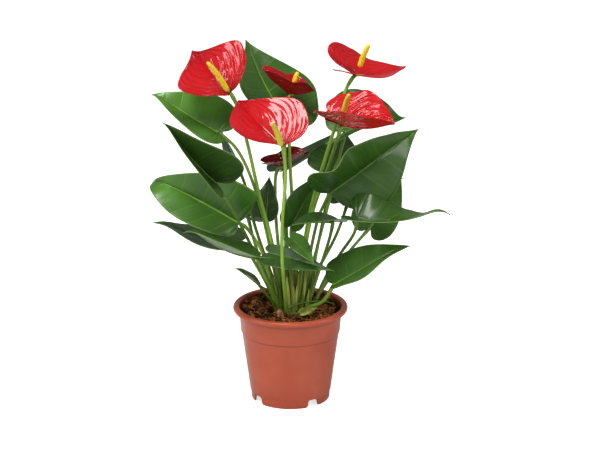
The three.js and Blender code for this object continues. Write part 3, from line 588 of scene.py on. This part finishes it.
class Look:
    """A material with a Principled shader, a base colour laid on in layers, and short ways to add
    nodes to it."""

    def __init__(self, name, **sockets):
        self.material = bpy.data.materials.new(name)
        self.material.use_nodes = True
        self.tree = self.material.node_tree
        self.shader = self.tree.nodes["Principled BSDF"]
        self.base = None
        for key, value in sockets.items():
            self.shader.inputs[key.replace("_", " ")].default_value = value

    def node(self, kind, **settings):
        made = self.tree.nodes.new(kind)
        for key, value in settings.items():
            setattr(made, key, value)
        return made

    def link(self, source, target):
        self.tree.links.new(source, target)

    def set(self, socket, value):
        if isinstance(value, bpy.types.NodeSocket):
            self.link(value, socket)
        else:
            socket.default_value = value

    def math(self, operation, a, b=0.0):
        made = self.node("ShaderNodeMath", operation=operation)
        self.set(made.inputs[0], a)
        self.set(made.inputs[1], b)
        return made.outputs[0]

    def times(self, a, b):
        return self.math("MULTIPLY", a, b)

    def ramp(self, value, *stops):
        """Eases from the third number to the fourth as the value goes from the first to the second."""
        made = self.node("ShaderNodeMapRange", interpolation_type="SMOOTHSTEP")
        self.set(made.inputs["Value"], value)
        for key, stop in zip(("From Min", "From Max", "To Min", "To Max"), stops):
            made.inputs[key].default_value = stop
        return made.outputs["Result"]

    def blend(self, factor, a, b):
        made = self.node("ShaderNodeMix", data_type="RGBA")
        self.set(made.inputs["Factor"], factor)
        self.set(made.inputs["A"], a)
        self.set(made.inputs["B"], b)
        return made.outputs["Result"]

    def ground(self, factor, a, b):
        """Starts the base colour as a mix of two."""
        self.base = self.blend(factor, srgb(*a), srgb(*b))

    def tint(self, factor, colour):
        """Lays a further colour over the base colour."""
        self.base = self.blend(factor, self.base, srgb(*colour))

    def noise(self, scale, detail=3.0, stretch=None, rough=0.5, place=None):
        made = self.node("ShaderNodeTexNoise")
        for socket, value in (("Scale", scale), ("Detail", detail), ("Roughness", rough)):
            made.inputs[socket].default_value = value
        place = place or self.node("ShaderNodeTexCoord").outputs["Object"]
        if stretch:
            mapping = self.node("ShaderNodeMapping")
            mapping.inputs["Scale"].default_value = stretch
            self.link(place, mapping.inputs["Vector"])
            place = mapping.outputs["Vector"]
        self.link(place, made.inputs["Vector"])
        return made.outputs["Fac"]

    def uv(self):
        """The UV map's two numbers: across and along the piece."""
        made = self.node("ShaderNodeSeparateXYZ")
        self.link(self.node("ShaderNodeTexCoord").outputs["UV"], made.inputs["Vector"])
        return made.outputs["X"], made.outputs["Y"]

    def from_midrib(self, u):
        """0 on a blade's midrib and 1 on its margins."""
        return self.math("ABSOLUTE", self.times(self.math("SUBTRACT", u, 0.5), 2.0))

    def streaks(self, along, across, along_scale, across_scale):
        """Noise drawn out along the veins."""
        place = self.node("ShaderNodeCombineXYZ")
        self.link(self.times(along, along_scale), place.inputs["X"])
        self.link(self.times(across, across_scale), place.inputs["Y"])
        return self.noise(1.0, place=place.outputs["Vector"])

    def lines(self, value, count, width):
        """1 on lines that repeat count times over value, 0 between them."""
        turn = self.math("FRACT", self.times(value, float(count)))
        near = self.math("ABSOLUTE", self.math("SUBTRACT", turn, 0.5))
        return self.ramp(near, 0.5, 0.5 - width, 1.0, 0.0)

    def tone(self):
        return self.node("ShaderNodeAttribute", attribute_name="tone").outputs["Fac"]

    def skin(self, height, distance, strength):
        """Puts the base colour and the relief on the shader, and gives the material."""
        made = self.node("ShaderNodeBump")
        made.inputs["Strength"].default_value = strength
        made.inputs["Distance"].default_value = distance
        self.link(height, made.inputs["Height"])
        self.link(made.outputs["Normal"], self.shader.inputs["Normal"])
        self.link(self.base, self.shader.inputs["Base Color"])
        return self.material


def leaf_look(name, under):
    look = Look(name, Roughness=0.5 if under else 0.32, Coat_Weight=0.0 if under else 0.28,
                Coat_Roughness=0.18, Specular_IOR_Level=0.35)
    u, t = look.uv()
    reach = look.from_midrib(u)
    veins = look.lines(t, VEINS, 0.07)
    fine = look.lines(t, 4 * VEINS, 0.3)
    mottle = look.noise(55.0, 4.0)
    look.ground(look.tone(), (26, 44, 14), (96, 146, 58))
    look.tint(look.ramp(look.noise(16.0, 2.0), 0.35, 0.7, 0.0, 0.6), (36, 62, 25))
    look.tint(look.ramp(mottle, 0.4, 0.75, 0.0, 0.4), (72, 112, 38))
    look.tint(look.times(fine, 0.05), (90, 130, 60))
    look.tint(look.times(veins, 0.16), (104, 146, 64))
    look.tint(look.ramp(reach, 0.04, 0.01, 0.0, 0.42), (140, 178, 84))
    look.tint(look.ramp(reach, 0.975, 0.995, 0.0, 0.55), (142, 172, 90))
    if under:
        look.tint(0.5, (112, 146, 92))
    height = look.math("ADD", look.times(veins, -0.5), look.times(mottle, 0.5))
    height = look.math("ADD", height, look.times(fine, -0.12))
    return look.skin(height, 0.0005, 0.5)


def stalk_look():
    look = Look("stalk_skin", Roughness=0.42, Coat_Weight=0.2, Coat_Roughness=0.2)
    t = look.uv()[1]
    streak = look.noise(90.0, stretch=(1.0, 1.0, 0.12))
    look.ground(look.tone(), (78, 112, 34), (142, 180, 62))
    look.tint(look.ramp(streak, 0.4, 0.7, 0.0, 0.45), (70, 98, 30))
    look.tint(look.ramp(t, 0.22, 0.02, 0.0, 0.5), (148, 156, 74))
    return look.skin(streak, 0.0004, 0.4)


def spathe_look(name, under):
    look = Look(name, Roughness=0.6 if under else 0.5, Coat_Weight=0.0 if under else 0.85,
                Coat_Roughness=0.05, Specular_IOR_Level=0.18)
    u, t = look.uv()
    reach = look.from_midrib(u)
    swept = look.math("SUBTRACT", t, look.times(look.times(reach, reach), VEIN_ARC))
    streak = look.streaks(swept, u, 58.0, 7.0)
    veins = look.lines(swept, VEINS, 0.12)
    look.ground(look.tone(), (96, 2, 12), (196, 4, 20))
    look.tint(look.ramp(look.noise(70.0), 0.35, 0.7, 0.0, 0.4), (172, 6, 20))
    look.tint(look.times(veins, 0.18), (126, 4, 14))
    look.tint(look.ramp(streak, 0.5, 0.75, 0.0, 0.35), (150, 6, 18))
    # Painted shade: the spathe is darkened near the joint and the midrib, where its cupped lobes fall into
    # shade.
    painted_joint_shade = look.times(look.ramp(reach, 0.5, 0.0, 0.0, 1.0), look.ramp(t, 0.75, 0.2, 0.0, 0.85))
    look.tint(painted_joint_shade, (108, 2, 10))
    if under:
        brown = look.blend(look.tone(), srgb(84, 10, 12), srgb(128, 56, 30))
        look.base = look.blend(0.85, look.base, brown)
        look.tint(look.times(veins, 0.5), (70, 16, 12))
    height = look.math("ADD", look.times(veins, -0.5), look.times(streak, 0.8))
    return look.skin(height, 0.0008, 0.9)


def spadix_look():
    look = Look("spadix_skin", Roughness=0.5)
    t = look.uv()[1]
    mottle = look.noise(420.0, 2.0)
    ripe = look.blend(look.ramp(t, 0.5, 1.0, 0.0, 0.5), srgb(246, 206, 34), srgb(222, 216, 70))
    young = look.blend(look.ramp(t, 0.0, 1.0, 0.0, 1.0), srgb(206, 208, 84), srgb(184, 200, 62))
    look.base = look.blend(look.tone(), ripe, young)
    look.tint(look.ramp(mottle, 0.4, 0.65, 0.0, 0.4), (196, 158, 24))
    return look.skin(mottle, 0.0004, 0.6)


def pot_look():
    look = Look("pot_plastic", Roughness=0.38, Specular_IOR_Level=0.45)
    scuff = look.noise(60.0, 5.0, stretch=(1.0, 1.0, 0.3))
    look.ground(look.ramp(look.noise(24.0, 2.0), 0.35, 0.7, 0.0, 1.0), (172, 82, 56), (180, 90, 64))
    look.tint(look.ramp(scuff, 0.62, 0.8, 0.0, 0.15), (198, 124, 100))
    place = look.node("ShaderNodeSeparateXYZ")
    look.link(look.node("ShaderNodeTexCoord").outputs["Object"], place.inputs["Vector"])
    # Painted shade: a darker ring of colour in the crease under the band and in the crease under the lip.
    for crease, reach, strength in ((BAND_HEIGHT - 0.9, 1.2, 0.6), (LIP_UNDERSIDE, 4.0, 0.4)):
        away = look.math("ABSOLUTE", look.math("SUBTRACT", place.outputs["Z"], crease * MM))
        look.tint(look.ramp(away, reach * MM, 0.0, 0.0, strength), (112, 46, 30))
    look.link(look.ramp(scuff, 0.4, 0.8, 0.28, 0.4), look.shader.inputs["Roughness"])
    return look.skin(look.noise(900.0, 2.0), 0.00012, 0.35)


def earth_look():
    look = Look("potting_mix", Roughness=0.95, Specular_IOR_Level=0.2)
    crumb = look.noise(260.0, 5.0, rough=0.65)
    look.ground(look.ramp(crumb, 0.4, 0.65, 0.0, 1.0), (14, 9, 4), (74, 50, 24))
    look.tint(look.ramp(look.noise(70.0, 4.0), 0.5, 0.75, 0.0, 0.6), (112, 70, 34))
    return look.skin(crumb, 0.0025, 0.9)


def chip_look():
    look = Look("bark_chip", Roughness=0.85, Specular_IOR_Level=0.25)
    grain = look.noise(240.0, 4.0, stretch=(1.0, 0.35, 1.0))
    look.ground(look.tone(), (46, 28, 14), (206, 142, 80))
    look.tint(look.ramp(grain, 0.4, 0.65, 0.0, 0.6), (72, 38, 20))
    return look.skin(grain, 0.001, 0.8)


def sheath_look():
    look = Look("sheath_skin", Roughness=0.5, Coat_Weight=0.1, Coat_Roughness=0.3)
    t = look.uv()[1]
    streak = look.noise(120.0, 4.0, stretch=(1.0, 1.0, 0.1))
    look.ground(look.tone(), (136, 150, 64), (204, 216, 120))
    look.tint(look.ramp(streak, 0.44, 0.6, 0.0, 0.55), (78, 86, 36))
    dry = look.times(look.ramp(t, 0.85, 1.0, 0.0, 0.9), look.ramp(streak, 0.35, 0.6, 0.2, 1.0))
    look.tint(dry, (132, 92, 48))
    return look.skin(streak, 0.0006, 0.6)


def stub_look():
    look = Look("stub_skin", Roughness=0.7, Specular_IOR_Level=0.3)
    grain = look.noise(300.0, 4.0, stretch=(1.0, 1.0, 0.2))
    look.ground(look.ramp(grain, 0.35, 0.65, 0.0, 1.0), (216, 168, 136), (150, 96, 66))
    return look.skin(grain, 0.0006, 0.6)


# The heights of the pot's two creases: the band's lower edge, and just under the lip. The pot's material
# darkens both with painted shade.
BAND_HEIGHT = 74.0
LIP_UNDERSIDE = 95.0
LEAF_TOP = leaf_look("leaf_upper_side", False)
LEAF_UNDER = leaf_look("leaf_under_side", True)
STALK_SKIN = stalk_look()
SPATHE_TOP = spathe_look("spathe_upper_side", False)
SPATHE_UNDER = spathe_look("spathe_under_side", True)
SPADIX_SKIN = spadix_look()
POT_PLASTIC = pot_look()
EARTH = earth_look()
CHIP = chip_look()
SHEATH_SKIN = sheath_look()
STUB_SKIN = stub_look()


# ---- pot ----
LIP_RADIUS, LIP_INNER = 60.0, 53.0
BAND_TOP, BAND_BOTTOM, BODY_TOP, BODY_BOTTOM = 53.6, 51.9, 51.1, 42.2
FOOT_HEIGHT, WALL, FLOOR_HEIGHT = 9.0, 1.4, 6.0
POT_SIDES = 144
POT_SMOOTH_ANGLE = 38
NOTCH_AZIMUTHS = (35, 125, 215, 305)
NOTCH_OUTSIDE, NOTCH_DEPTH = 47, 12
LIP_ROUND, INNER_LIP_ROUND = 3.1, 2.6


def pot_profile():
    """Radius and height in mm, from the middle under the floor, round the outside and the lip, to
    the middle of the floor inside."""
    top = POT_HEIGHT / MM
    under_lip = top - 5.5

    def arc(middle, size, angles):
        round_off = abs(size)
        turns = [math.radians(angle) for angle in angles]
        return [(middle + size * math.cos(turn), top - round_off + round_off * math.sin(turn))
                for turn in turns]

    lip = arc(LIP_RADIUS - LIP_ROUND, LIP_ROUND, (-78, -50, -20, 10, 40, 65, 90))
    inner_lip = arc(LIP_INNER + INNER_LIP_ROUND, -INNER_LIP_ROUND, (75, 45, 15, 0))
    return [(18, FLOOR_HEIGHT), (39.4, FLOOR_HEIGHT), (39.9, FLOOR_HEIGHT - 0.5), (39.6, 0.5), (39.9, 0.0),
            (40.6, 0.0), (41.0, 0.5), (41.5, FOOT_HEIGHT - 0.7), (42.0, FOOT_HEIGHT - 0.2),
            (42.25, FOOT_HEIGHT + 0.3), (46.6, 42.0), (BODY_TOP - 0.1, BAND_HEIGHT - 0.5),
            (BODY_TOP + 0.1, BAND_HEIGHT + 0.1), (BAND_BOTTOM - 0.1, BAND_HEIGHT + 0.5),
            (BAND_BOTTOM + 0.1, BAND_HEIGHT + 1.1), (BAND_TOP - 0.1, under_lip - 0.9),
            (BAND_TOP + 0.5, under_lip - 0.15), (LIP_RADIUS - 2.6, under_lip - 0.1),
            *lip, (LIP_RADIUS - 4.6, top - 0.15), *inner_lip,
            (BAND_TOP - WALL + 0.1, under_lip - 0.5), (BAND_TOP - WALL - 0.2, under_lip - 1.6),
            (BODY_TOP - WALL, BAND_HEIGHT), (BODY_BOTTOM - WALL, FLOOR_HEIGHT + WALL),
            (16, FLOOR_HEIGHT + WALL)]


def turned(name, profile, sides):
    """A turned solid: a ring is drawn out from the middle and extruded round its profile."""
    deselect()
    radius, height = profile[0]
    bpy.ops.mesh.primitive_circle_add(vertices=sides, radius=radius * MM, fill_type="NGON",
                                      location=(AXIS.x, AXIS.y, height * MM))
    piece = bpy.context.active_object
    piece.name = name
    bpy.ops.object.transform_apply(location=True, rotation=True, scale=True)

    def draw_round():
        for before, after in zip(profile, profile[1:]):
            rise = (after[1] - before[1]) * MM
            grow = after[0] / before[0]
            bpy.ops.mesh.extrude_region_move(TRANSFORM_OT_translate={"value": (0, 0, rise)})
            bpy.ops.transform.resize(value=(grow, grow, 1), center_override=(AXIS.x, AXIS.y, 0))

    edit(piece, draw_round, face_outward)
    return piece


def notch_cutter(azimuth):
    """A block with rounded shoulders that flares at the foot, lying across the pot's skirt."""
    half, tall, flare = 5.8, 8.2, 2.6
    side = [(half + flare, -1), (half + flare, 0.1), (half + 0.9, 1.4), (half, 3.4), (half, tall - 1.8),
            (half - 0.6, tall - 0.6), (half - 1.8, tall)]
    outline = [(-x, z) for x, z in side] + side[::-1]
    deselect()
    bpy.ops.mesh.primitive_circle_add(vertices=len(outline), radius=1, fill_type="NGON")
    cutter = bpy.context.active_object
    for vertex, (x, z) in zip(cutter.data.vertices, outline):
        vertex.co = (x * MM, -NOTCH_OUTSIDE * MM, z * MM)

    def cut_inwards():
        bpy.ops.mesh.extrude_region_move(TRANSFORM_OT_translate={"value": (0, NOTCH_DEPTH * MM, 0)})

    edit(cutter, cut_inwards, face_outward)
    cutter.data.transform(Matrix.Translation(AXIS) @ Matrix.Rotation(math.radians(azimuth), 4, "Z"))
    return cutter


pot = turned("moulded_pot", pot_profile(), POT_SIDES)
for azimuth in NOTCH_AZIMUTHS:
    cutter = notch_cutter(azimuth)
    apply_modifier(pot, "BOOLEAN", object=cutter, operation="DIFFERENCE", solver="EXACT")
    bpy.data.objects.remove(cutter)
make_active(pot)
bpy.ops.object.shade_smooth_by_angle(angle=math.radians(POT_SMOOTH_ANGLE))
finished(pot, ["pot"], "pot_plastic", POT_PLASTIC)

# ---- potting mix ----
MIX_TOP = 95.5
MIX_RADIUS = 51.2
MIX_BOTTOM = 80
MIX_TAPER = 0.045
MIX_SURFACE_SHARE = 0.8


def mix_height(x, y):
    """The height of the mix's surface, in mm, at points about the pot's axis."""
    flat = np.column_stack([x, y, np.zeros(len(x))])
    reach = np.hypot(x, y) / MIX_RADIUS
    mound = 1.5 * (1 - reach**2) + 6.0 * np.clip(y / MIX_RADIUS, -0.25, 1)
    rough = 1.7 * lumps(flat, 11.0, 3) + 1.3 * lumps(flat, 4.2, 5) + 0.7 * lumps(flat, 1.8, 7)
    return MIX_TOP + mound + rough


def surface_height(x, y):
    return float(mix_height(np.array([x]), np.array([y]))[0])


def mix_piece():
    piece, around, along = new_grid("potting_mix_fill", 150, 84)
    angle = 2 * np.pi * around
    radius = MIX_RADIUS * np.clip(along / MIX_SURFACE_SHARE, 0, 1)
    x, y = radius * np.cos(angle), radius * np.sin(angle)
    z = mix_height(x, y)
    down = 2 * np.clip((along - MIX_SURFACE_SHARE) / (1 - MIX_SURFACE_SHARE), 0, 1)
    side = np.clip(down, 0, 1)
    inward = (1 - np.clip(down - 1, 0, 1)) * (1 - MIX_TAPER * side)
    z = z * (1 - side) + MIX_BOTTOM * side
    set_points(piece, row_frame(np.column_stack([x * inward, y * inward, z])))
    edit(piece, merge_doubles, face_outward)
    smooth(piece)
    return piece


finished(mix_piece(), ["potting_mix"], "potting_mix", EARTH)


def joined(name, parts):
    deselect()
    for part in parts:
        part.select_set(True)
    bpy.context.view_layer.objects.active = parts[0]
    bpy.ops.object.join()
    parts[0].name = name
    return parts[0]


def chip_blank(kind, rng):
    """A flake of bark: a block split once each way, broken out of true and rounded a little."""
    deselect()
    bpy.ops.mesh.primitive_cube_add(size=2)
    chip = bpy.context.active_object
    chip.name = f"chip_{kind}"
    edit(chip, lambda: bpy.ops.mesh.subdivide(number_cuts=1, smoothness=0.35))
    for vertex in chip.data.vertices:
        vertex.co = Vector(vertex.co) * (1 + rng.uniform(-0.28, 0.22))
        vertex.co.x += 0.25 * vertex.co.y * rng.uniform(-1, 1)
    return chip


def scatter(blank, place, size, turn, tone):
    """A copy of a blank with its own mesh, at its place in the mix."""
    copy = blank.copy()
    copy.data = blank.data.copy()
    bpy.context.collection.objects.link(copy)
    copy.data.transform(Matrix.Translation(place) @ turn @ Matrix.Diagonal((*size, 1)))
    number_attribute(copy, "tone", tone)
    return copy


def random_turn(rng, tip):
    """A turn about the upright, tipped a little out of level."""
    lean = Matrix.Rotation(rng.uniform(-tip, tip), 4, "X") @ Matrix.Rotation(rng.uniform(-tip, tip), 4, "Y")
    return Matrix.Rotation(rng.uniform(0, 2 * math.pi), 4, "Z") @ lean


CHIP_COUNT = 640
CHIP_KINDS = 6
CHIP_SPREAD = 50.0
CHIP_CEILING = 102.0
FIBRE_COUNT = 230
FIBRE_SPREAD = 46.0
FIBRE_LIMIT = 49.5


def bark_chips():
    rng = np.random.default_rng(11)
    blanks = [chip_blank(kind, rng) for kind in range(CHIP_KINDS)]
    chips = []
    for k in range(CHIP_COUNT):
        angle = rng.uniform(0, 2 * math.pi)
        radius = CHIP_SPREAD * math.sqrt(rng.uniform(0.04, 1))
        x, y = radius * math.cos(angle), radius * math.sin(angle)
        big = rng.uniform(0, 1) ** 3
        long = 0.9 + 3.2 * big
        size = [long * MM, long * rng.uniform(0.35, 0.7) * MM, (0.4 + 0.9 * big) * MM]
        lift = rng.uniform(-0.2, 1.0) * (0.5 + big)
        z = min(surface_height(x, y) + lift, CHIP_CEILING)
        inward = min(1, (MIX_RADIUS - long) / radius)
        spot = Vector(row_frame((x * inward, y * inward, z)))
        turn = random_turn(rng, 0.6)
        chips.append(scatter(blanks[k % CHIP_KINDS], spot, size, turn, rng.uniform(0, 1) ** 3))
    for blank in blanks:
        bpy.data.objects.remove(blank)
    return joined("bark_chips", chips)


def fibres():
    rng = np.random.default_rng(23)
    strands = []
    for k in range(FIBRE_COUNT):
        angle = rng.uniform(0, 2 * math.pi)
        radius = FIBRE_SPREAD * math.sqrt(rng.uniform(0.1, 1))
        heading = rng.uniform(0, 2 * math.pi)
        long = rng.uniform(4, 15)
        turn = rng.uniform(-1.6, 1.6)
        points = []
        for step in np.linspace(0, 1, 5):
            way = heading + turn * step
            x = radius * math.cos(angle) + long * (step - 0.5) * math.cos(way)
            y = radius * math.sin(angle) + long * (step - 0.5) * math.sin(way)
            inward = min(1, FIBRE_LIMIT / math.hypot(x, y))
            x, y = x * inward, y * inward
            arch = 2.2 * math.sin(math.pi * step) * rng.uniform(0.1, 1)
            points.append((x, y, surface_height(x, y) + 0.5 + arch))
        strand = rod(f"strand_{k}", points, (0.2, 0.42, 0.18), 9, sides=5)
        number_attribute(strand, "tone", rng.uniform(0.4, 1.0))
        strands.append(strand)
    return joined("loose_fibres", strands)


finished(bark_chips(), [], "potting_mix", CHIP)
finished(fibres(), [], "potting_mix", CHIP)

# ---- crown ----
CROWN_SHIFT = 4
CROWN_RADII = (22, 17)
CROWN_MIDDLE = 94
CROWN_HALF_HEIGHT = 6.5


def crown_piece():
    """The short woody base in the middle of the mix, knobbed where stalks have grown."""
    piece, around, along = new_grid("crown_base", 72, 30)
    angle = 2 * np.pi * around
    rise = np.sin(np.pi * np.clip(along, 0, 1))
    lift = -np.cos(np.pi * np.clip(along, 0, 1))
    flat = np.column_stack([CROWN_SHIFT + np.cos(angle) * rise * CROWN_RADII[0],
                            np.sin(angle) * rise * CROWN_RADII[1], CROWN_MIDDLE + CROWN_HALF_HEIGHT * lift])
    bulge = 1 + 0.1 * lumps(flat, 6.0, 2)
    flat[:, 0] *= bulge
    flat[:, 1] *= bulge
    flat[:, 2] += lumps(flat, 5.0, 9)
    set_points(piece, row_frame(flat))
    edit(piece, merge_doubles, face_outward)
    smooth(piece)
    number_attribute(piece, "tone", 0.2)
    return piece


SHEATH_COUNT = 44
SHEATH_TURN = 0.382
SHEATH_FOOT = 91
SHEATH_SPREAD = (19, 16)
SHEATH_OUTLINE = [(-0.2, 0.5), (0, 0.8), (0.15, 1.0), (0.4, 0.94), (0.62, 0.7), (0.8, 0.42),
                  (0.93, 0.15), (1, 0)]


def sheaths():
    """Pointed sheaths standing round the feet of the stalks."""
    rng = np.random.default_rng(5)
    standing = []
    for k in range(SHEATH_COUNT):
        angle = 2 * math.pi * k * SHEATH_TURN
        reach = math.sqrt((k + 0.5) / SHEATH_COUNT)
        x = 3 + SHEATH_SPREAD[0] * reach * math.cos(angle)
        y = SHEATH_SPREAD[1] * reach * math.sin(angle)
        tall = rng.uniform(22, 64)
        lean = rng.uniform(0.05, 0.3) * reach
        out = np.array([math.cos(angle), math.sin(angle)])
        tip = (x + out[0] * tall * lean, y + out[1] * tall * lean, SHEATH_FOOT + tall)
        wide = rng.uniform(2.4, 5.0)
        spec = shape(f"sheath_{k}", (x, y, SHEATH_FOOT), tip, face=(-out[0], -out[1], 0.3),
                     width=(wide, wide), fold=(38, 38), curl=(45, 45), bend=rng.uniform(-16, 10),
                     hook=rng.uniform(-20, 35), lobe=0.05, tone=rng.uniform(0.35, 1))
        piece = blade_piece(f"sheath_{k}", spec, SHEATH_OUTLINE, 25, 13, 0.1,
                            lambda t, across, points: 0.25 * np.sin(14 * across), 0.6)
        standing.append(piece)
    return joined("crown_sheaths", standing)


finished(crown_piece(), ["crown"], "crown_skin", SHEATH_SKIN)
finished(sheaths(), [], "crown_skin", SHEATH_SKIN, SHEATH_SKIN)


def fallen_stalk():
    points = [(-2, -22, 106), (10, -21, 110), (22, -15, 110), (35, -7, 107), (46, 3, 101)]
    piece = rod("fallen_stalk", points, (1.3, 1.2, 1.0, 0.9, 0.6), 33)
    number_attribute(piece, "tone", 0.0)
    return piece


def cut_stub():
    piece = rod("cut_stub", [(-10, -21, 92), (-10.5, -22.5, 98), (-11.5, -24, 103)], (3.6, 3.2, 3.0), 17)
    number_attribute(piece, "tone", 0.6)
    return piece


def dry_leaf():
    spec = shape("dry_leaf", (12, -24, 101), (29, -22, 108), face=(-0.1, -0.8, 0.4), width=(6, 6),
                 fold=(25, 20), curl=(60, 50), bend=-30, hook=-40, lobe=0.2, tone=0.4)
    return blade_piece("dry_leaf", spec, LEAF_OUTLINE, 41, 21, VEIN_SWEEP, leaf_relief(spec), 0.4)


finished(fallen_stalk(), [], "crown_skin", STALK_SKIN)
finished(cut_stub(), [], "crown_skin", STUB_SKIN)
finished(dry_leaf(), [], "crown_skin", SHEATH_SKIN, SHEATH_SKIN)

# ---- leaves ----
# A small leaf's stalk is part of the same CAD body as its blade, so only the blade replaces it.
LEAF_THICKNESS = 0.5
LEAF_RIB_END = 0.86
for leaf in LEAVES:
    name = leaf["name"]
    small = name in ONE_PIECE_LEAVES
    rows, columns = (49, 21) if small else (73, 33)
    radius, sheath = (1.4, 0.8) if small else (1.8, 1.3)
    blade = blade_piece(f"grown_{name}_blade", leaf, LEAF_OUTLINE, rows, columns, VEIN_SWEEP,
                        leaf_relief(leaf), LEAF_THICKNESS)
    finished(blade, [name if small else f"{name}_blade"], "leaf", LEAF_TOP, LEAF_UNDER)
    stalk = stalk_piece(f"grown_{name}_stalk", leaf, radius, sheath, LEAF_RIB_END)
    finished(stalk, [] if small else [f"{name}_stalk"], "stalk", STALK_SKIN)

# ---- flowers ----
SPATHE_THICKNESS = 0.7
SPATHE_RIB_END = 0.2
SPATHE_VEIN_SWEEP = 0.3
FLOWER_STALK_TONE = 0.9
FLOWER_STALK_RADIUS, FLOWER_STALK_SHEATH = 1.95, 1.2
for flower in FLOWERS:
    name = flower["name"]
    spathe = blade_piece(f"grown_{name}_spathe", flower, SPATHE_OUTLINE, 121, 81, SPATHE_VEIN_SWEEP,
                         spathe_relief(flower), SPATHE_THICKNESS)
    finished(spathe, [f"{name}_spathe"], "spathe", SPATHE_TOP, SPATHE_UNDER)
    stalk = stalk_piece(f"grown_{name}_stalk", dict(flower, tone=FLOWER_STALK_TONE), FLOWER_STALK_RADIUS,
                        FLOWER_STALK_SHEATH, SPATHE_RIB_END)
    finished(stalk, [f"{name}_stalk"], "stalk", STALK_SKIN)
    if flower["spadix"]:
        spadix = spadix_piece(f"grown_{name}_spadix", flower)
        finished(spadix, [f"{name}_spadix"], "spadix", SPADIX_SKIN)

# ---- camera, lights and floor ----
CAMERA_FROM_AXIS = Vector((0.010, -2.322, 0.932))
CAMERA_PITCH = 0.3098
CAMERA_LENS = 141.4
camera_data = bpy.data.cameras.new("camera")
camera_data.sensor_width = 36
camera_data.lens = CAMERA_LENS
camera_data.clip_end = 50
camera = bpy.data.objects.new("camera", camera_data)
bpy.context.collection.objects.link(camera)
camera.location = AXIS + CAMERA_FROM_AXIS
camera.rotation_euler = (math.pi / 2 - CAMERA_PITCH, 0, 0)
bpy.context.scene.camera = camera

BACKDROP_STRENGTH = 1.0
ROOM_STRENGTH = 0.3
FLOOR_GLOW = 0.6


def studio_world():
    """White behind the plant, and a dimmer room that lights it."""
    world = bpy.data.worlds.new("studio")
    bpy.context.scene.world = world
    world.use_nodes = True
    tree = world.node_tree
    output = tree.nodes["World Output"]
    room = tree.nodes["Background"]
    backdrop = tree.nodes.new("ShaderNodeBackground")
    for white, strength in ((room, ROOM_STRENGTH), (backdrop, BACKDROP_STRENGTH)):
        white.inputs["Color"].default_value = (1, 1, 1, 1)
        white.inputs["Strength"].default_value = strength
    seen = tree.nodes.new("ShaderNodeLightPath")
    choice = tree.nodes.new("ShaderNodeMixShader")
    tree.links.new(seen.outputs["Is Camera Ray"], choice.inputs["Fac"])
    tree.links.new(room.outputs["Background"], choice.inputs[1])
    tree.links.new(backdrop.outputs["Background"], choice.inputs[2])
    tree.links.new(choice.outputs["Shader"], output.inputs["Surface"])


studio_world()


def softbox(name, place, size, power, aim=(0, 0, 0.2)):
    data = bpy.data.lights.new(name, "AREA")
    data.shape = "RECTANGLE"
    data.size, data.size_y = size
    data.energy = power
    lamp = bpy.data.objects.new(name, data)
    bpy.context.collection.objects.link(lamp)
    lamp.location = place
    lamp.rotation_euler = (Vector(aim) - Vector(place)).to_track_quat("-Z", "Y").to_euler()


softbox("key_top", (-0.35, -0.45, 1.5), (0.4, 0.9), 14)
softbox("side_left", (-1.5, -0.9, 0.7), (0.3, 1.1), 7)
softbox("high_left", (-1.1, -0.25, 1.25), (0.25, 0.45), 3)
softbox("side_right", (1.5, -0.5, 0.9), (0.4, 1.1), 6)
softbox("front_fill", (0.5, -2.2, 1.2), (0.8, 0.8), 8)

deselect()
bpy.ops.mesh.primitive_plane_add(size=14, location=(0, 0, 0))
floor = bpy.context.active_object
floor.name = "floor"
floor_look = Look("floor_paper", Base_Color=(0.8, 0.8, 0.8, 1), Roughness=0.9, Specular_IOR_Level=0.0,
                  Emission_Color=(1, 1, 1, 1))
floor_seen = floor_look.node("ShaderNodeLightPath").outputs["Is Camera Ray"]
floor_look.link(floor_look.times(floor_seen, FLOOR_GLOW), floor_look.shader.inputs["Emission Strength"])
floor.data.materials.append(floor_look.material)

bpy.context.scene.view_settings.view_transform = "Standard"
bpy.context.scene.view_settings.look = "Medium High Contrast"
